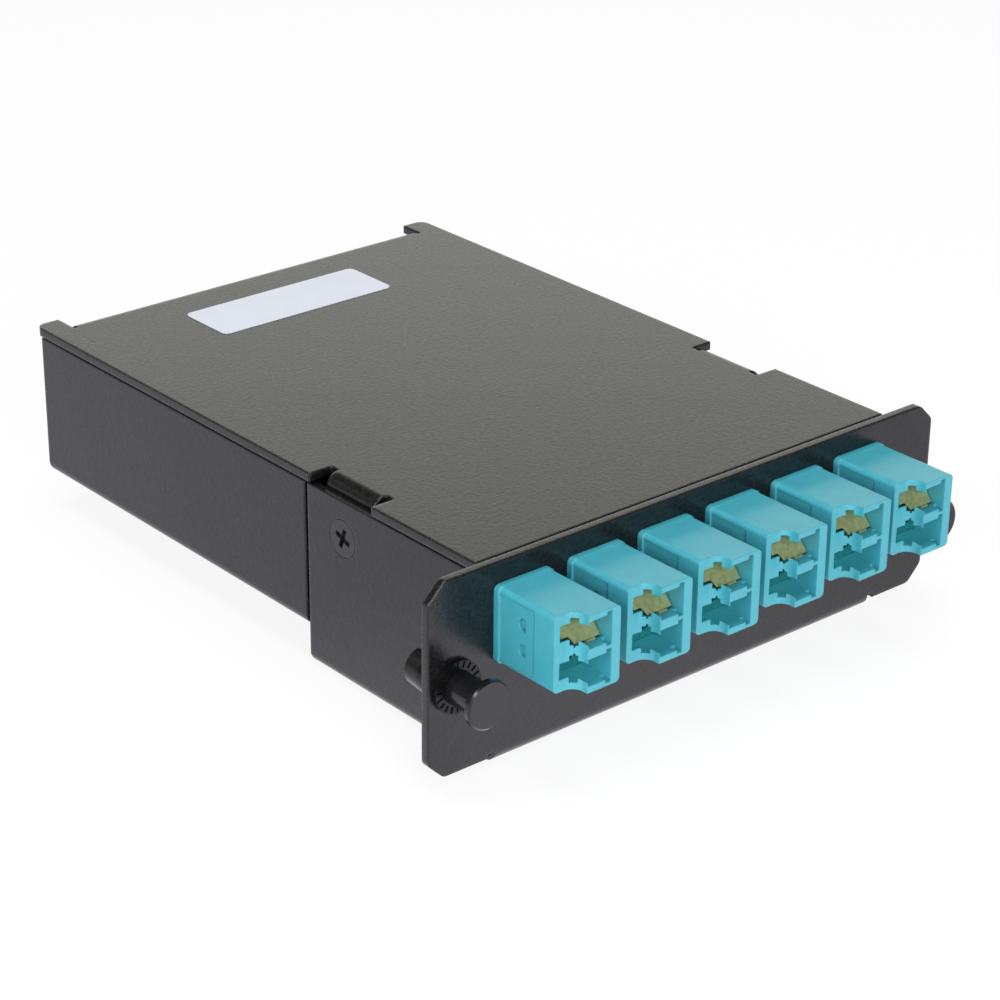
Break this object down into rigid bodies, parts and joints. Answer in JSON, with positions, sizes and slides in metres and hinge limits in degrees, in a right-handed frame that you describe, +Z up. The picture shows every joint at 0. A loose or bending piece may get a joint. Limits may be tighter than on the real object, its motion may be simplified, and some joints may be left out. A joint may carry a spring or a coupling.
{
  "type": "fibre adapter panel",
  "caption": "Slim folded-metal fibre cassette: front panel with push-pull latches and shuttered duplex adapters, screwed cover over the fibre tray, multi-fibre trunk adapter in the back wall.",
  "frame": {"origin": "midway between the two latch axes, on the back face of the front panel, which seats on the enclosure", "axes": "+X along the panel to the right as seen from the front, +Y back into the case, +Z up"},
  "size_m": [0.1094, 0.1509, 0.0348],
  "materials": {
    "powder_coat": "satin powder coat, dark grey",
    "black_screw": "black plated",
    "zinc_steel": "zinc plated",
    "aqua_plastic": "moulded, satin, aqua",
    "spring_steel": "bright spring steel",
    "sleeve_ceramic": "polished",
    "plug_plastic": "moulded, beige",
    "leaf_metal": "rolled spring bronze, satin",
    "latch_plastic": "moulded, semi-gloss black",
    "plunger_plastic": "moulded, semi-gloss black",
    "trunk_plastic": "moulded black",
    "fibre_jacket": "extruded jacket, aqua",
    "label_paper": "white coated label, blank"
  },
  "bodies": {
    "case": {"front_chassis": "powder_coat", "rear_tray": "powder_coat", "tray_rivets": "zinc_steel", "top_cover": "powder_coat", "cover_screws": "black_screw", "clinch_nuts": "zinc_steel", "trunk_adapter": "trunk_plastic", "trunk_adapter_screws": "zinc_steel", "trunk_plug": "aqua_plastic", "fibre_trunk": "fibre_jacket", "fibre_splitter": "trunk_plastic", "fibre_legs": "fibre_jacket", "blank_label": "label_paper", "latch_grommet_left": "latch_plastic", "latch_grommet_right": "latch_plastic", "adapter_1": "aqua_plastic", "adapter_2": "aqua_plastic", "adapter_3": "aqua_plastic", "adapter_4": "aqua_plastic", "adapter_5": "aqua_plastic", "adapter_6": "aqua_plastic", "adapter_clip_1": "spring_steel", "adapter_clip_2": "spring_steel", "adapter_clip_3": "spring_steel", "adapter_clip_4": "spring_steel", "adapter_clip_5": "spring_steel", "adapter_clip_6": "spring_steel", "sleeves_1": "sleeve_ceramic", "sleeves_2": "sleeve_ceramic", "sleeves_3": "sleeve_ceramic", "sleeves_4": "sleeve_ceramic", "sleeves_5": "sleeve_ceramic", "sleeves_6": "sleeve_ceramic", "inner_plugs_1": "plug_plastic", "inner_plugs_2": "plug_plastic", "inner_plugs_3": "plug_plastic", "inner_plugs_4": "plug_plastic", "inner_plugs_5": "plug_plastic", "inner_plugs_6": "plug_plastic"},
    "plunger_left": {"latch_plunger_left": "plunger_plastic"},
    "plunger_right": {"latch_plunger_right": "plunger_plastic"},
    "leaf_upper_1": {"shutter_upper_1": "leaf_metal"},
    "leaf_lower_1": {"shutter_lower_1": "leaf_metal"},
    "leaf_upper_2": {"shutter_upper_2": "leaf_metal"},
    "leaf_lower_2": {"shutter_lower_2": "leaf_metal"},
    "leaf_upper_3": {"shutter_upper_3": "leaf_metal"},
    "leaf_lower_3": {"shutter_lower_3": "leaf_metal"},
    "leaf_upper_4": {"shutter_upper_4": "leaf_metal"},
    "leaf_lower_4": {"shutter_lower_4": "leaf_metal"},
    "leaf_upper_5": {"shutter_upper_5": "leaf_metal"},
    "leaf_lower_5": {"shutter_lower_5": "leaf_metal"},
    "leaf_upper_6": {"shutter_upper_6": "leaf_metal"},
    "leaf_lower_6": {"shutter_lower_6": "leaf_metal"}
  },
  "joints": [
    {"name": "plunger_left_slide", "type": "slide", "parent": "case", "child": "plunger_left", "axis": [0, 1, 0], "range_m": [0, 0.0058]},
    {"name": "plunger_right_slide", "type": "slide", "parent": "case", "child": "plunger_right", "axis": [0, 1, 0], "range_m": [0, 0.0058]},
    {"name": "leaf_upper_1_hinge", "type": "hinge", "parent": "case", "child": "leaf_upper_1", "pos_m": [-0.0352, -0.01558, 0.00864], "axis": [-1, 0, 0], "range_deg": [0, 49], "stiffness_Nm_per_rad": 0.0004, "springref_deg": -11.46},
    {"name": "leaf_lower_1_hinge", "type": "hinge", "parent": "case", "child": "leaf_lower_1", "pos_m": [-0.0352, -0.01558, 0.0072], "axis": [1, 0, 0], "range_deg": [0, 49], "stiffness_Nm_per_rad": 0.0004, "springref_deg": -11.46},
    {"name": "leaf_upper_2_hinge", "type": "hinge", "parent": "case", "child": "leaf_upper_2", "pos_m": [-0.0206, -0.01558, 0.00864], "axis": [-1, 0, 0], "range_deg": [0, 49], "stiffness_Nm_per_rad": 0.0004, "springref_deg": -11.46},
    {"name": "leaf_lower_2_hinge", "type": "hinge", "parent": "case", "child": "leaf_lower_2", "pos_m": [-0.0206, -0.01558, 0.0072], "axis": [1, 0, 0], "range_deg": [0, 49], "stiffness_Nm_per_rad": 0.0004, "springref_deg": -11.46},
    {"name": "leaf_upper_3_hinge", "type": "hinge", "parent": "case", "child": "leaf_upper_3", "pos_m": [-0.006, -0.01558, 0.00864], "axis": [-1, 0, 0], "range_deg": [0, 49], "stiffness_Nm_per_rad": 0.0004, "springref_deg": -11.46},
    {"name": "leaf_lower_3_hinge", "type": "hinge", "parent": "case", "child": "leaf_lower_3", "pos_m": [-0.006, -0.01558, 0.0072], "axis": [1, 0, 0], "range_deg": [0, 49], "stiffness_Nm_per_rad": 0.0004, "springref_deg": -11.46},
    {"name": "leaf_upper_4_hinge", "type": "hinge", "parent": "case", "child": "leaf_upper_4", "pos_m": [0.0086, -0.01558, 0.00864], "axis": [-1, 0, 0], "range_deg": [0, 49], "stiffness_Nm_per_rad": 0.0004, "springref_deg": -11.46},
    {"name": "leaf_lower_4_hinge", "type": "hinge", "parent": "case", "child": "leaf_lower_4", "pos_m": [0.0086, -0.01558, 0.0072], "axis": [1, 0, 0], "range_deg": [0, 49], "stiffness_Nm_per_rad": 0.0004, "springref_deg": -11.46},
    {"name": "leaf_upper_5_hinge", "type": "hinge", "parent": "case", "child": "leaf_upper_5", "pos_m": [0.0232, -0.01558, 0.00864], "axis": [-1, 0, 0], "range_deg": [0, 49], "stiffness_Nm_per_rad": 0.0004, "springref_deg": -11.46},
    {"name": "leaf_lower_5_hinge", "type": "hinge", "parent": "case", "child": "leaf_lower_5", "pos_m": [0.0232, -0.01558, 0.0072], "axis": [1, 0, 0], "range_deg": [0, 49], "stiffness_Nm_per_rad": 0.0004, "springref_deg": -11.46},
    {"name": "leaf_upper_6_hinge", "type": "hinge", "parent": "case", "child": "leaf_upper_6", "pos_m": [0.0378, -0.01558, 0.00864], "axis": [-1, 0, 0], "range_deg": [0, 49], "stiffness_Nm_per_rad": 0.0004, "springref_deg": -11.46},
    {"name": "leaf_lower_6_hinge", "type": "hinge", "parent": "case", "child": "leaf_lower_6", "pos_m": [0.0378, -0.01558, 0.0072], "axis": [1, 0, 0], "range_deg": [0, 49], "stiffness_Nm_per_rad": 0.0004, "springref_deg": -11.46}
  ]
}
